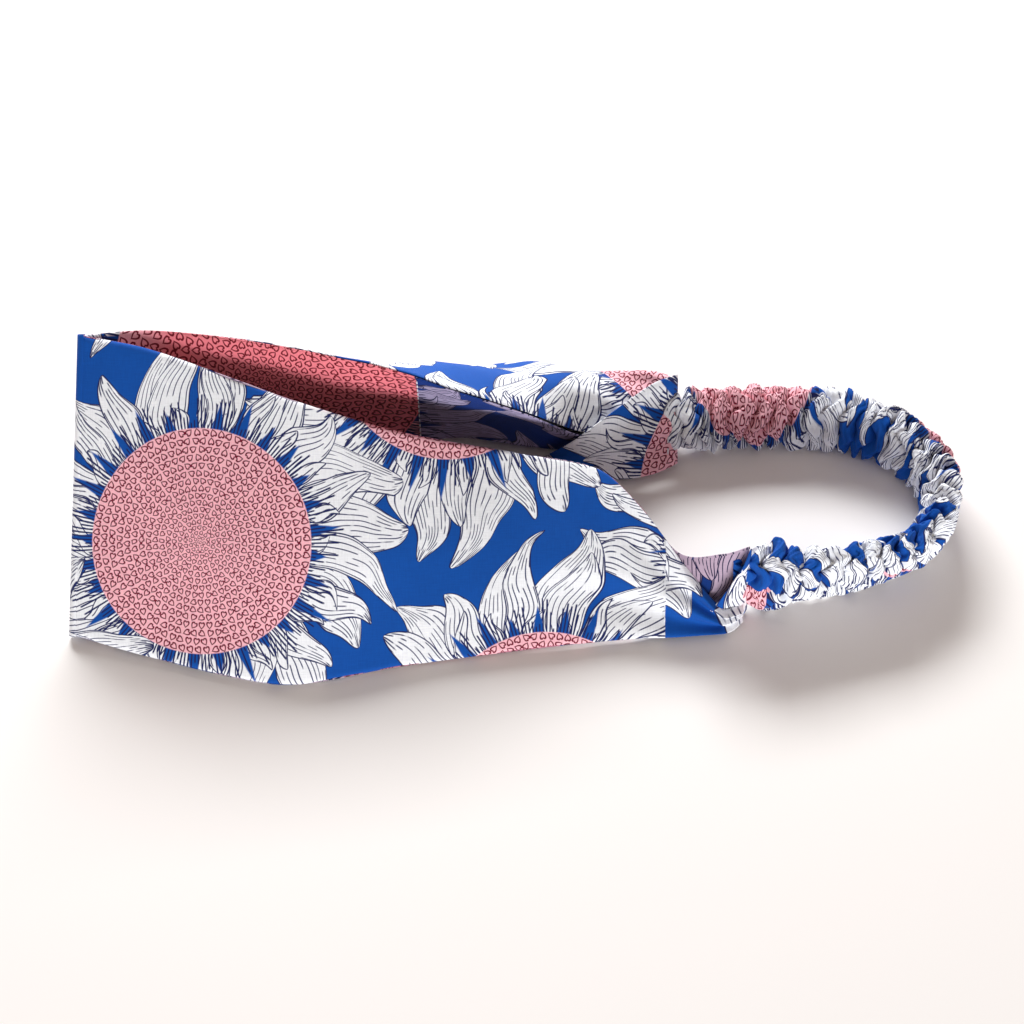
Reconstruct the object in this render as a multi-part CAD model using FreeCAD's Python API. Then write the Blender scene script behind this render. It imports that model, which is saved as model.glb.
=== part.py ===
"""A wide print headband, folded flat at the front and held closed by a gathered elastic casing.

Sizes are in millimetres. +X runs from the front crease to the back of the elastic, +Z is up, and the band lies
on the plane Z = 0. Each piece is one STEP file in the folder parts.
"""

import FreeCAD
import Part
import math
import os

# Overall sizes
LOOP_LENGTH = 251.0  # from the front crease to the back of the elastic loop
BAND_WIDTH = 86.0  # the band across the front crease

# Fabric
FABRIC = 0.6  # one layer
LAYER_GAP = 0.3  # between neighbouring layers
PITCH = FABRIC + LAYER_GAP

# Elastic and its casing
ELASTIC_WIDTH = 12.0
ELASTIC_THICKNESS = 1.0
CASING_THICKNESS = 7.0
CASING_WIDTH = ELASTIC_WIDTH + CASING_THICKNESS  # its flat sides are as wide as the elastic
CASING_WALL = 0.8
FAR_TILT, NEAR_TILT = 36.0, 102.0  # the casing's width against the level, at its two ends
SPAN_GAP = 0.3  # between the spans that the casing and the elastic are cut into
SPAN_CUTS = (0.0, 0.283, 0.715, 1.0)  # shares of the casing's length

# Thread
THREAD_RADIUS = 0.25
STITCH_LENGTH = 2.0

# The tables below are drawn for a band 251 long and 86 wide, and are scaled to the sizes above.
ALONG = LOOP_LENGTH / 251.0
ACROSS = BAND_WIDTH / 86.0
CREASE_LEAN = 4.2 / 55.0  # the crease's travel in X for each unit of height
LEAN_ENDS = 60.0
CLEAR = 0.2  # between the plane and the fabric that hangs lowest

# Near strap, from its lower edge to its upper edge: x, then y and z of each point
NEAR_OUTER = [
    (0, 0.1, 2.0, 32.3, 29.0, 64.5, 56.0),
    (20, -5.8, 1.2, 27.2, 28.5, 61.5, 54.2),
    (45, -12.6, 1.0, 19.8, 27.1, 54.5, 50.0),
    (62, -14.9, 1.0, 15.7, 26.0, 49.2, 47.0),
    (91, -9.2, 1.0, 16.5, 21.5, 45.5, 37.0),
    (125, -4.0, 1.0, 17.7, 18.0, 42.6, 30.0),
    (147, -1.2, 1.0, 18.0, 15.6, 39.9, 26.0),
    (158, 0.0, 1.0, 14.4, 13.0, 31.0, 21.7),
    (169, 0.6, 1.0, 8.1, 9.5, 17.0, 16.6),
    (181, 2.2, 1.0, 3.7, 4.3, 5.2, 7.6),
]
NEAR_LINING = NEAR_OUTER[:8] + [
    (169, 4.0, 1.0, 11.0, 9.1, 18.0, 17.2),
    (181, 8.4, 1.2, 11.1, 12.1, 13.8, 23.0),
    (188, 10.4, 1.2, 12.8, 12.9, 15.2, 24.5),
]
NEAR_TUCK = [
    (177, 4.8, 1.0, 5.4, 2.7, 6.0, 4.5),
    (182, 6.3, 1.0, 7.6, 7.0, 9.1, 13.0),
    (188, 7.6, 1.0, 9.6, 12.7, 12.1, 24.5),
]
NEAR_TAB = [(178.5, 8.0, 6.9, 12.1, 18.5), (188, 10.2, 6.6, 12.4, 18.4)]

# Far strap: its lining hangs from the upper edge, and its outer layer puffs out behind and turns under
FAR_LINING = [
    (0, 65.4, 55.0, 33.2, 28.0, 1.0, 1.0),
    (20, 67.2, 54.7, 37.5, 29.5, 9.0, 1.6),
    (45, 65.0, 53.8, 47.0, 27.0, 29.0, 2.0),
    (71, 60.6, 52.0, 56.5, 26.0, 50.0, 3.0),
    (92, 57.5, 48.0, 60.5, 27.0, 61.0, 5.0),
    (106, 53.5, 45.0, 59.5, 26.0, 64.0, 6.0),
    (126, 53.5, 34.0, 59.0, 20.0, 62.5, 4.0),
    (140, 58.5, 16.5, 61.0, 10.0, 62.0, 3.2),
    (147, 61.0, 10.0, 63.0, 7.0, 64.5, 3.5),
    (155, 61.2, 5.2, 64.4, 6.8, 67.5, 4.6),
    (160, 61.8, 4.6, 64.6, 6.6, 67.5, 4.9),
]
FAR_OUTER = [
    (0, 66.0, 54.3, 53.1, 43.5, 40.2, 32.7, 27.4, 21.9, 14.5, 11.1, 1.6, 0.3),
    (20, 67.9, 54.0, 62.0, 35.0, 51.0, 17.5, 37.0, 6.0, 22.0, 1.2, 9.8, 0.9),
    (45, 65.9, 53.3, 72.0, 37.0, 73.0, 17.0, 63.0, 2.5, 47.0, 0.7, 30.0, 0.9),
    (71, 61.5, 52.0, 70.0, 34.0, 80.0, 15.0, 76.0, 2.2, 64.0, 0.6, 51.0, 2.0),
    (92, 58.4, 48.0, 71.0, 33.0, 83.5, 13.5, 81.0, 2.2, 72.0, 0.6, 62.0, 4.0),
    (106, 54.4, 45.2, 70.0, 32.5, 84.5, 12.5, 82.0, 2.0, 74.0, 0.6, 65.0, 5.0),
    (126, 54.4, 34.4, 70.0, 28.0, 85.5, 11.5, 83.0, 2.0, 74.0, 0.6, 63.6, 3.2),
    (140, 59.2, 17.4, 71.0, 22.0, 84.5, 11.5, 82.5, 2.2, 74.0, 0.6, 63.0, 2.2),
    (147, 61.3, 11.0, 70.5, 19.2, 84.0, 11.5, 82.5, 2.4, 74.0, 0.7, 65.4, 2.5),
    (155, 60.0, 6.5, 69.4, 14.4, 82.5, 12.5, 81.5, 4.0, 75.0, 1.2, 68.3, 3.2),
    (163, 59.3, 4.0, 68.8, 10.6, 78.6, 15.4, 81.0, 10.2, 73.0, 4.0, 63.5, 1.6),
    (170, 58.9, 2.5, 67.0, 8.6, 75.6, 14.6, 79.2, 12.0, 72.0, 6.2, 63.4, 0.9),
]
FAR_TUCK = [
    (131, 58.0, 1.2, 58.6, 1.8, 59.2, 2.4),
    (140, 54.5, 1.4, 55.9, 7.2, 58.1, 13.2),
    (147, 52.8, 1.6, 56.6, 9.8, 61.4, 17.6),
    (155, 52.4, 2.0, 59.6, 10.8, 67.9, 18.3),
    (163, 53.6, 2.6, 63.4, 11.1, 74.1, 18.9),
    (170, 56.4, 3.5, 66.4, 11.6, 77.0, 19.4),
]
FAR_TAB = [(161, 64.6, 4.1, 74.4, 11.0), (170, 64.5, 4.0, 74.3, 10.9)]

# Middle of the casing, from the far strap round the back to the near strap
CASING_PATH = [
    (170.4, 68.2, 9.1),
    (175, 68.3, 9.2),
    (187, 69.7, 9.4),
    (203, 70.0, 9.4),
    (217, 68.4, 9.2),
    (231, 63.0, 9.0),
    (241, 54.0, 8.9),
    (244.5, 43.0, 8.9),
    (242.5, 32.0, 9.0),
    (235, 24.0, 9.5),
    (222.6, 18.6, 10.3),
    (208.6, 15.6, 11.0),
    (195, 14.1, 11.8),
    (188.3, 13.9, 12.1),
]

X_AXIS = FreeCAD.Vector(1, 0, 0)
Z_AXIS = FreeCAD.Vector(0, 0, 1)
SAMPLES = 20  # points along each side of a section


def place(x, y, z):
    """A point of the tables at the band's own size."""
    return FreeCAD.Vector(x * ALONG, y * ACROSS, z * ACROSS)


def leaned(point):
    """The point moved on with the crease's lean, and kept off the plane that the band lies on."""
    z = max(point.z, CLEAR)
    return FreeCAD.Vector(point.x + CREASE_LEAN * z * max(0.0, 1 - point.x / (LEAN_ENDS * ALONG)) ** 2, point.y, z)


def row_at(table, x):
    """The table's row at x, on smooth curves through its rows."""
    i = max(k for k in range(len(table) - 1) if k == 0 or table[k][0] <= x)
    before, start, end, after = table[max(0, i - 1)], table[i], table[i + 1], table[min(len(table) - 1, i + 2)]
    step = end[0] - start[0]
    u = (x - start[0]) / step
    row = []
    for a, b, c, d in zip(before[1:], start[1:], end[1:], after[1:]):
        rise = (c - a) / (end[0] - before[0]) * step
        fall = (d - b) / (after[0] - start[0]) * step
        row.append(b + u * rise + u * u * (3 * (c - b) - 2 * rise - fall) + u**3 * (2 * (b - c) + rise + fall))
    return row


def curve_at(table, x):
    """The curve across a layer at x."""
    row = row_at(table, x)
    curve = Part.BSplineCurve()
    curve.interpolate([place(x, row[k], row[k + 1]) for k in range(0, len(row), 2)])
    return curve


def on_curve(curve, share, offset):
    """A point beside a curve, and the curve's direction there."""
    u = curve.FirstParameter + (curve.LastParameter - curve.FirstParameter) * share
    along = curve.tangent(u)[0]
    return curve.value(u) + X_AXIS.cross(along).normalize() * offset, along


def closed(sides):
    """The closed wire through two open rows of points that run the same way."""
    near, far = (Part.BSplineCurve() for _ in range(2))
    near.interpolate(sides[0])
    far.interpolate(sides[1][::-1])
    caps = [Part.makeLine(sides[0][-1], sides[1][-1]), Part.makeLine(sides[1][0], sides[0][0])]
    return Part.Wire([near.toShape(), caps[0], far.toShape(), caps[1]])


def layer(table, start, end, offset=0.0, thickness=FABRIC, stations=12):
    """One layer of fabric between two values of x, beside the table's surface."""
    wires = []
    for k in range(stations + 1):
        curve = curve_at(table, start + (end - start) * k / stations)
        faces = (offset - thickness / 2, offset + thickness / 2)
        wires.append(closed([[leaned(on_curve(curve, i / SAMPLES, f)[0]) for i in range(SAMPLES + 1)] for f in faces]))
    return Part.makeLoft(wires, True)


def stitches(table, x, offset, count, margin=0.06):
    """A row of stitches across a layer, lying on one of its faces."""
    curve, row = curve_at(table, x), []
    for k in range(count):
        middle, along = on_curve(curve, margin + (1 - 2 * margin) * k / (count - 1), offset)
        base = middle - along * (STITCH_LENGTH / 2)
        row.append(Part.makeCylinder(THREAD_RADIUS, STITCH_LENGTH, base, along))
    return Part.makeCompound(row)


def front_fold():
    """The outer fabric where it turns round the front crease: half a pipe on the crease line."""
    low, high = leaned(place(0, 0.7, 1.35)), leaned(place(0, 65.1, 55.3))
    axis = (high - low).normalize()
    ahead = (axis * axis.dot(X_AXIS) - X_AXIS).normalize()
    side = axis.cross(ahead)
    outer, inner = 2 * PITCH - LAYER_GAP / 2, PITCH + LAYER_GAP / 2
    arcs = [Part.Arc(*[low + v * r for v in (side, ahead, side * -1)]).toShape() for r in (outer, inner)]
    ends = [Part.makeLine(low + side * (outer * s), low + side * (inner * s)) for s in (1, -1)]
    rim = Part.Wire(Part.__sortEdges__([arcs[0], ends[1], arcs[1], ends[0]]))
    return Part.Face(rim).extrude(high - low)


def casing_frame(share):
    """A point of the casing's middle line, with the directions of its width and thickness there."""
    path = Part.BSplineCurve()
    path.interpolate([place(*p) for p in CASING_PATH])
    u = path.parameterAtDistance(path.length() * share, path.FirstParameter)
    along = path.tangent(u)[0]
    level = Z_AXIS.cross(along).normalize()
    tilt = math.radians(FAR_TILT + (NEAR_TILT - FAR_TILT) * share)
    wide = level * math.cos(tilt) + along.cross(level) * math.sin(tilt)
    return path.value(u), wide, along.cross(wide)


def slot_wire(share, width, thickness):
    """The casing's section: two flat sides joined by half circles."""
    middle, wide, thick = casing_frame(share)
    flat, r = wide * ((width - thickness) / 2), thickness / 2
    corners = [middle + flat * a + thick * (r * b) for a, b in ((-1, -1), (1, -1), (1, 1), (-1, 1))]
    tips = [middle + flat + wide * r, middle - flat - wide * r]
    return Part.Wire(
        [
            Part.makeLine(corners[0], corners[1]),
            Part.Arc(corners[1], tips[0], corners[2]).toShape(),
            Part.makeLine(corners[2], corners[3]),
            Part.Arc(corners[3], tips[1], corners[0]).toShape(),
        ]
    )


def elastic_wire(share):
    """The elastic's section, lying inside the casing against its outer side."""
    middle, wide, thick = casing_frame(share)
    lift = CASING_THICKNESS / 2 - CASING_WALL - LAYER_GAP - ELASTIC_THICKNESS / 2
    middle = middle - thick * lift
    w, t = wide * (ELASTIC_WIDTH / 2), thick * (ELASTIC_THICKNESS / 2)
    return Part.makePolygon([middle - w - t, middle + w - t, middle + w + t, middle - w + t, middle - w - t])


def spans(make_wire, stations=9):
    """A length of casing or elastic as the three spans that can move apart."""
    length = 1.2 * LOOP_LENGTH / 2
    trim = SPAN_GAP / length / 2
    solids = []
    for a, b in zip(SPAN_CUTS, SPAN_CUTS[1:]):
        a, b = a + trim * (a > 0), b - trim * (b < 1)
        solids.append(Part.makeLoft([make_wire(a + (b - a) * k / stations) for k in range(stations + 1)], True))
    return solids


def casing_spans():
    """The three spans of the casing, hollow for the elastic."""
    outer = spans(lambda share: slot_wire(share, CASING_WIDTH, CASING_THICKNESS))
    inner = spans(lambda share: slot_wire(share, CASING_WIDTH - 2 * CASING_WALL, CASING_THICKNESS - 2 * CASING_WALL))
    return [a.cut(b) for a, b in zip(outer, inner)]


def trimmed(shape):
    """The shape with a flat on the plane that it lies on."""
    size = 2 * LOOP_LENGTH
    return shape.cut(Part.makeBox(2 * size, 2 * size, size, FreeCAD.Vector(-size, -size, -size)))


def pieces():
    """Every piece of the headband by name."""
    half, fold = PITCH / 2, 2 * PITCH - LAYER_GAP / 2
    seam, on_face = 0.2, FABRIC / 2 + THREAD_RADIUS + 0.05
    start, near_seam, far_seam = (fold + 0.35) / ALONG, 165.0, 96.0
    casings, elastics = casing_spans(), spans(elastic_wire)
    found = {
        "front_fold": front_fold(),
        "far_outer_panel": layer(FAR_OUTER, 0.3, 169.8, stations=30),
        "far_lining_panel": layer(FAR_LINING, 0.3, far_seam - seam),
        "far_lining_end_panel": layer(FAR_LINING, far_seam + seam, 158.0),
        "far_end_tuck": layer(FAR_TUCK, 131.0, 169.8, stations=8),
        "far_elastic_tab": layer(FAR_TAB, 161.0, 169.8, thickness=ELASTIC_THICKNESS, stations=2),
        "far_joint_stitches": stitches(FAR_TUCK, 167.5, on_face, 8),
        "far_piecing_stitches": stitches(FAR_LINING, far_seam, -on_face, 14),
        "near_outer_panel": layer(NEAR_OUTER, start, near_seam - seam, half, stations=16),
        "near_outer_end_panel": layer(NEAR_OUTER, near_seam + seam, 181.0, half, stations=4),
        "near_lining_panel": layer(NEAR_LINING, start, 187.8, -half, stations=24),
        "near_end_tuck": layer(NEAR_TUCK, 177.0, 187.8, stations=4),
        "near_elastic_tab": layer(NEAR_TAB, 178.5, 187.8, thickness=ELASTIC_THICKNESS, stations=2),
        "near_joint_stitches": stitches(NEAR_TUCK, 186.0, on_face, 7),
        "near_piecing_stitches": stitches(NEAR_OUTER, near_seam, half + on_face, 8),
    }
    for casing, elastic, name in zip(casings, elastics, ("far_leg", "back", "near_leg")):
        found["casing_" + name] = casing
        found["elastic_" + name] = elastic
    found["casing_back"] = trimmed(found["casing_back"])
    return found


def main():
    """Sets the pieces down with the origin under the middle of the band, and writes one file for each."""
    found = pieces()
    box = Part.makeCompound(list(found.values())).optimalBoundingBox()
    middle = FreeCAD.Vector(-(box.XMin + box.XMax) / 2, -(box.YMin + box.YMax) / 2, 0)
    os.makedirs("parts", exist_ok=True)
    for name, shape in found.items():
        shape.translate(middle)
        shape.exportStep("parts/%s.step" % name)


main()
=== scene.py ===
"""The knotted headband's looks: printed cotton, a gathered elastic casing and sewn joints.

Lengths are in millimetres in the tables and metres in Blender.
"""

import math

import bmesh
import bpy
from mathutils import Matrix, Vector, noise


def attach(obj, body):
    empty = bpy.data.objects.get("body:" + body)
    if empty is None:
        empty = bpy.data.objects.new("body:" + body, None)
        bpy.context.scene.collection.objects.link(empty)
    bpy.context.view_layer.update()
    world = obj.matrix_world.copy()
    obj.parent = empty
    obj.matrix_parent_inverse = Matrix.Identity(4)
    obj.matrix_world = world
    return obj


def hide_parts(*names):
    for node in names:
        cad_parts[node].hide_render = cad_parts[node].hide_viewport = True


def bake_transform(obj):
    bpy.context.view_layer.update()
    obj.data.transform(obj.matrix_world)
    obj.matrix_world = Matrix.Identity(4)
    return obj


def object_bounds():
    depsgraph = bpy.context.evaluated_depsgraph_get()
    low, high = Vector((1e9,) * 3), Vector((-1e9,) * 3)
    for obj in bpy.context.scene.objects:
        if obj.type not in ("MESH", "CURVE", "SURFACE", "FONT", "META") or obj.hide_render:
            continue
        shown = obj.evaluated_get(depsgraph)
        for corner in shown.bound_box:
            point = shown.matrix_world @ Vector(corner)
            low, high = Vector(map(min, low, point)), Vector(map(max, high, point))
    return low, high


bl_info = {
    "name": "Knotted headband",
    "version": (1, 0, 0),
    "blender": (4, 5, 0),
    "location": "View3D > Sidebar > Headband",
    "description": "Builds the cloth, thread and elastic of a printed cotton headband round its CAD frame",
    "category": "Add Mesh",
}

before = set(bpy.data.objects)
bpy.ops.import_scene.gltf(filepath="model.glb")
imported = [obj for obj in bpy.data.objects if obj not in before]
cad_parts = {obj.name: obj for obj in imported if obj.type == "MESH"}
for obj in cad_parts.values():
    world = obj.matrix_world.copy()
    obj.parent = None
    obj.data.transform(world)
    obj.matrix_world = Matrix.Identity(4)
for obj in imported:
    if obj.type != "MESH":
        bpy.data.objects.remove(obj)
FRAME_BOX = [list(corner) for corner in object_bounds()]

MM = 0.001
LOW_CORNER = Vector((-1.54, -15.398, 0.0))  # the CAD box's lowest corner in the tables' millimetres
MIDDLE = LOW_CORNER - Vector(FRAME_BOX[0]) / MM  # the frame's origin in the tables' millimetres
CREASE_LEAN = 4.2 / 55.0  # how far the front crease leans along x for each millimetre of height
LEAN_ENDS = 60.0  # how far along the straps the lean is felt

# Rows of x, then y and z of each point across the layer
NEAR_OUTER = [
    (0, 0.1, 2.0, 32.3, 29.0, 64.5, 56.0),
    (20, -5.8, 1.2, 27.2, 28.5, 61.5, 54.2),
    (45, -12.6, 1.0, 19.8, 27.1, 54.5, 50.0),
    (62, -14.9, 1.0, 15.7, 26.0, 49.2, 47.0),
    (91, -9.2, 1.0, 16.5, 21.5, 45.5, 37.0),
    (125, -4.0, 1.0, 17.7, 18.0, 42.6, 30.0),
    (147, -1.2, 1.0, 18.0, 15.6, 39.9, 26.0),
    (158, 0.0, 1.0, 14.4, 13.0, 31.0, 21.7),
    (169, 0.6, 1.0, 8.1, 9.5, 17.0, 16.6),
    (181, 2.2, 1.0, 3.7, 4.3, 5.2, 7.6),
]
NEAR_CORNER = [
    (184.5, 3.6, 1.2, 4.6, 4.2, 5.8, 7.0),
    (187.5, 6.8, 1.6, 7.2, 3.4, 7.8, 5.6),
]
NEAR_LINING = NEAR_OUTER[:8] + [
    (169, 4.0, 1.0, 11.0, 9.1, 18.0, 17.2),
    (181, 8.4, 1.2, 11.1, 12.1, 13.8, 23.0),
    (188, 10.4, 1.2, 12.8, 12.9, 15.2, 24.5),
]
NEAR_TUCK = [
    (177, 4.8, 1.0, 5.4, 2.7, 6.0, 4.5),
    (182, 6.3, 1.0, 7.6, 7.0, 9.1, 13.0),
    (188, 7.6, 1.0, 9.6, 12.7, 12.1, 24.5),
]
FAR_LINING = [
    (0, 65.4, 55.0, 33.2, 28.0, 1.0, 1.0),
    (20, 67.2, 54.7, 37.5, 29.5, 9.0, 1.6),
    (45, 65.0, 53.8, 47.0, 27.0, 29.0, 2.0),
    (71, 60.6, 52.0, 56.5, 26.0, 50.0, 3.0),
    (92, 57.5, 48.0, 60.5, 27.0, 61.0, 5.0),
    (106, 53.5, 45.0, 59.5, 26.0, 64.0, 6.0),
    (126, 53.5, 34.0, 59.0, 20.0, 62.5, 4.0),
    (140, 58.5, 16.5, 61.0, 10.0, 62.0, 3.2),
    (147, 61.0, 10.0, 63.0, 7.0, 64.5, 3.5),
    (155, 61.2, 5.2, 64.4, 6.8, 67.5, 4.6),
    (160, 61.8, 4.6, 64.6, 6.6, 67.5, 4.9),
]
FAR_OUTER = [
    (0, 66.0, 54.3, 53.1, 43.5, 40.2, 32.7, 27.4, 21.9, 14.5, 11.1, 1.6, 0.3),
    (20, 67.9, 54.0, 62.0, 35.0, 51.0, 17.5, 37.0, 6.0, 22.0, 1.2, 9.8, 0.9),
    (45, 65.9, 53.3, 72.0, 37.0, 73.0, 17.0, 63.0, 2.5, 47.0, 0.7, 30.0, 0.9),
    (71, 61.5, 52.0, 70.0, 34.0, 80.0, 15.0, 76.0, 2.2, 64.0, 0.6, 51.0, 2.0),
    (92, 58.4, 48.0, 71.0, 33.0, 83.5, 13.5, 81.0, 2.2, 72.0, 0.6, 62.0, 4.0),
    (106, 54.4, 45.2, 70.0, 32.5, 84.5, 12.5, 82.0, 2.0, 74.0, 0.6, 65.0, 5.0),
    (126, 54.4, 34.4, 70.0, 28.0, 85.5, 11.5, 83.0, 2.0, 74.0, 0.6, 63.6, 3.2),
    (140, 59.2, 17.4, 71.0, 22.0, 84.5, 11.5, 82.5, 2.2, 74.0, 0.6, 63.0, 2.2),
    (147, 61.3, 11.0, 70.5, 19.2, 84.0, 11.5, 82.5, 2.4, 74.0, 0.7, 65.4, 2.5),
    (155, 60.0, 6.5, 69.4, 14.4, 82.5, 12.5, 81.5, 4.0, 75.0, 1.2, 68.3, 3.2),
    (163, 59.3, 4.0, 68.8, 10.6, 78.6, 15.4, 81.0, 10.2, 73.0, 4.0, 63.5, 1.6),
    (170, 58.9, 2.5, 67.0, 8.6, 75.6, 14.6, 79.2, 12.0, 72.0, 6.2, 63.4, 0.9),
]
FAR_TUCK = [
    (131, 58.0, 1.2, 58.6, 1.8, 59.2, 2.4),
    (140, 54.5, 1.4, 55.9, 7.2, 58.1, 13.2),
    (147, 52.8, 1.6, 56.6, 9.8, 61.4, 17.6),
    (155, 52.4, 2.0, 59.6, 10.8, 67.9, 18.3),
    (163, 53.6, 2.6, 63.4, 11.1, 74.1, 18.9),
    (170, 56.4, 3.5, 66.4, 11.6, 77.0, 19.4),
]
CASING_PATH = [
    (170.4, 68.2, 9.1),
    (175, 68.3, 9.2),
    (187, 69.7, 9.4),
    (203, 70.0, 9.4),
    (217, 68.4, 9.2),
    (231, 63.0, 9.0),
    (241, 54.0, 8.9),
    (244.5, 43.0, 8.9),
    (242.5, 32.0, 9.0),
    (235, 24.0, 9.5),
    (222.6, 18.6, 10.3),
    (208.6, 15.6, 11.0),
    (195, 14.1, 11.8),
    (188.3, 13.9, 12.1),
]
FAR_TILT, NEAR_TILT = 36.0, 102.0  # the casing's tilt at its two ends, in degrees
SAG, SAG_AT, SAG_REACH = 2.2, 0.2, 0.14  # how far the casing sags, where along it, and over what share
SWELL, SWELL_AT, SWELL_REACH = 0.42, 0.955, 0.032  # the casing's wider stretch beside the near strap
NEAR_SLOPE = (0.766, 0.643)  # how the near strap's face leans, over y and z
FOLD_ENDS = ((0.103, 0.7, 1.35), (4.223, 65.1, 55.3))
FOLD_RADIUS = 1.55
LOWEST = 0.25  # no strap's cloth lies lower than this over the table
THREAD_RADIUS = 0.22

# The print: the two steps that repeat its flower head
STEPS = ((69.2, 53.2), (95.8, -57.3))
HEART_ROWS = 17
HEART_CROWD = 0.78  # under 1, the hearts grow towards the disc's edge
PETAL_ROOT = 1.5  # how far under the disc's edge a petal starts
LONGEST = 61.0  # a petal past this would be cut where a third head comes nearer
GAPS = 29.0  # wedges of ground between the petals' roots
TUFTS = 210.0  # short dark strokes round the disc
WEFT, WARP = 0.32, 0.36  # the weave's pitches
PAINTED_SHADE_FADE = 15.0  # the length over which a lining's painted shade comes in
# Each ring of petals, from the back: how many, its turn, its tips' reach and spread, and the half width
RINGS = ((14, 0.2, (61.0, 16.0), 10.4), (17, 0.05, (54.0, 14.0), 6.8), (22, 0.5, (41.0, 12.0), 3.1))


# Each cloth piece: its slot, its body, the CAD pieces that it stands for, its flat cut in metres, how it is held,
# and the cut's area in square metres
CUTS = {
    "near_outer_cloth": ("print_cotton", "near_strap", ["near_outer_panel"], (0.165, 0.086), "folded", 0.0118),
    "near_outer_end_cloth": (
        "print_cotton", "near_strap", ["near_outer_end_panel"], (0.023, 0.03), "folded", 0.00038
    ),
    "near_lining_cloth": ("lining_cotton", "near_strap", ["near_lining_panel"], (0.188, 0.086), "folded", 0.0131),
    "far_lining_cloth": ("lining_cotton", "far_strap", ["far_lining_panel"], (0.096, 0.086), "folded", 0.0062),
    "far_lining_end_cloth": (
        "lining_cotton", "far_strap", ["far_lining_end_panel"], (0.062, 0.042), "gathered", 0.0016
    ),
    "far_outer_cloth": ("print_cotton", "far_strap", ["far_outer_panel"], (0.17, 0.09), "gathered", 0.0133),
    "far_tuck_cloth": ("print_cotton", "far_strap", ["far_end_tuck"], (0.04, 0.026), "folded", 0.00072),
    "near_tuck_cloth": ("print_cotton", "near_strap", ["near_end_tuck"], (0.0115, 0.025), "folded", 0.00015),
    "front_fold_cloth": ("print_cotton", "far_strap", ["front_fold"], (0.01, 0.0845), "folded", 0.00045),
}
# Each piece's cotton: where a flower's middle lies on it, and the print's turn, its tint of painted shade and its
# scale where it has one
# Painted shade on the linings: deeper red, grey-purple and mauve tints that darken the cloth's inner side as shade
# would
RED_PAINTED_SHADE, GREY_PAINTED_SHADE, MAUVE_PAINTED_SHADE = (0.85, 0.4, 0.42), (0.4, 0.34, 0.5), (0.5, 0.37, 0.46)
PRINTS = {
    "near_outer_cloth": {"name": "near outer cotton", "middle": (35.8, 28.8)},
    "near_outer_end_cloth": {"name": "near outer end cotton", "middle": (127.8, 35.8)},
    "near_lining_cloth": {"name": "near lining cotton", "middle": (105.8, 8.8), "tint": MAUVE_PAINTED_SHADE},
    "far_lining_cloth": {
        "name": "far lining cotton", "middle": (53.4, 12.8), "tint": RED_PAINTED_SHADE, "painted_shade_from": 12.0, "scale": 1.4
    },
    "far_lining_end_cloth": {"name": "far lining end cotton", "middle": (63.3, 27.3), "tint": GREY_PAINTED_SHADE},
    "far_outer_cloth": {"name": "far outer cotton", "middle": (176.7, 40.2), "turn": 20.0},
    "far_tuck_cloth": {"name": "far tuck cotton", "middle": (190.8, -3.2)},
    "near_tuck_cloth": {"name": "near tuck cotton", "middle": (182, -36)},
    "front_fold_cloth": {"name": "fold cotton", "middle": (35.8, 28.8)},
    "casing": {"name": "casing cotton", "middle": (-30.9, -97.2), "turn": 131.5},
}
# Each span of the casing: its share of the casing's line, its two bodies, where it turns from one to the other,
# and the CAD pieces that the casing and the elastic stand for
SPANS = (
    (
        "far_joint", (-0.035, 0.17), ("far_strap", "far_leg"), ((171, 68, 9), (192, 69.5, 9)),
        ("casing_far_leg",), ("elastic_far_leg", "far_elastic_tab"),
    ),
    (
        "far_bend", (0.17, 0.5), ("far_leg", "elastic_back"), ((199, 45, 9), (235, 45, 9)),
        ("casing_back",), ("elastic_back",),
    ),
    ("near_bend", (0.5, 0.88), ("elastic_back", "near_leg"), ((235, 40, 9), (212, 40, 9)), (), ()),
    (
        "near_joint", (0.88, 1.03), ("near_leg", "near_strap"), ((203, 15, 12), (190, 14, 12)),
        ("casing_near_leg",), ("elastic_near_leg", "near_elastic_tab"),
    ),
)
CASING_CUT, ELASTIC_CUT = 42.0, 12.0  # their flat widths
FULLNESS = 1.6  # how much longer the casing's cloth is than the casing
CASING_GRID = 4.6  # the casing's cells to the millimetre along it
ELASTIC_THICKNESS = 0.9
ELASTIC_INSET = 1.2  # how far the elastic lies to one side of the casing's middle
# Each row of stitches: its CAD piece, its body, the layer and the place along it, its height over it, and its count
STITCH_ROWS = (
    ("far_joint_stitches", "far_strap", FAR_TUCK, 167.5, 0.5, 8),
    ("far_piecing_stitches", "far_strap", FAR_LINING, 96.0, -0.4, 14),
    ("near_joint_stitches", "near_strap", NEAR_TUCK, 186.0, 0.45, 7),
    ("near_piecing_stitches", "near_strap", NEAR_OUTER, 165.0, 0.95, 8),
)
# Each light: its place and its size
WINDOW = ((-0.24, 1.07, 0.66), (0.8, 0.32))
FILL = ((0.25, -1.2, 0.15), (1.2, 0.24))
DAYLIGHT, AMBIENT = (0.95, 0.985, 1.0), (1, 0.86, 0.79, 1)
# The points that the lights and the camera are turned to, in the tables' millimetres
LIT_POINT, SEEN_POINT = (122.4, 29.7, 14), (122.4, 29.7, 20)


def look():
    """The cloth's sizes and colours, as the panel gives them."""
    return bpy.context.scene.headband_cloth


def clamped(value):
    """The value, kept from 0 to 1."""
    return min(max(value, 0.0), 1.0)


def eased(before, start, end, after, steps, u):
    """A value on the smooth curve through four values, between the middle two."""
    rise = (end - before) / steps[0] * steps[1]
    fall = (after - start) / steps[2] * steps[1]
    curve = u * u * (3 * (end - start) - 2 * rise - fall)
    return start + u * rise + curve + u**3 * (2 * (start - end) + rise + fall)


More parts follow.
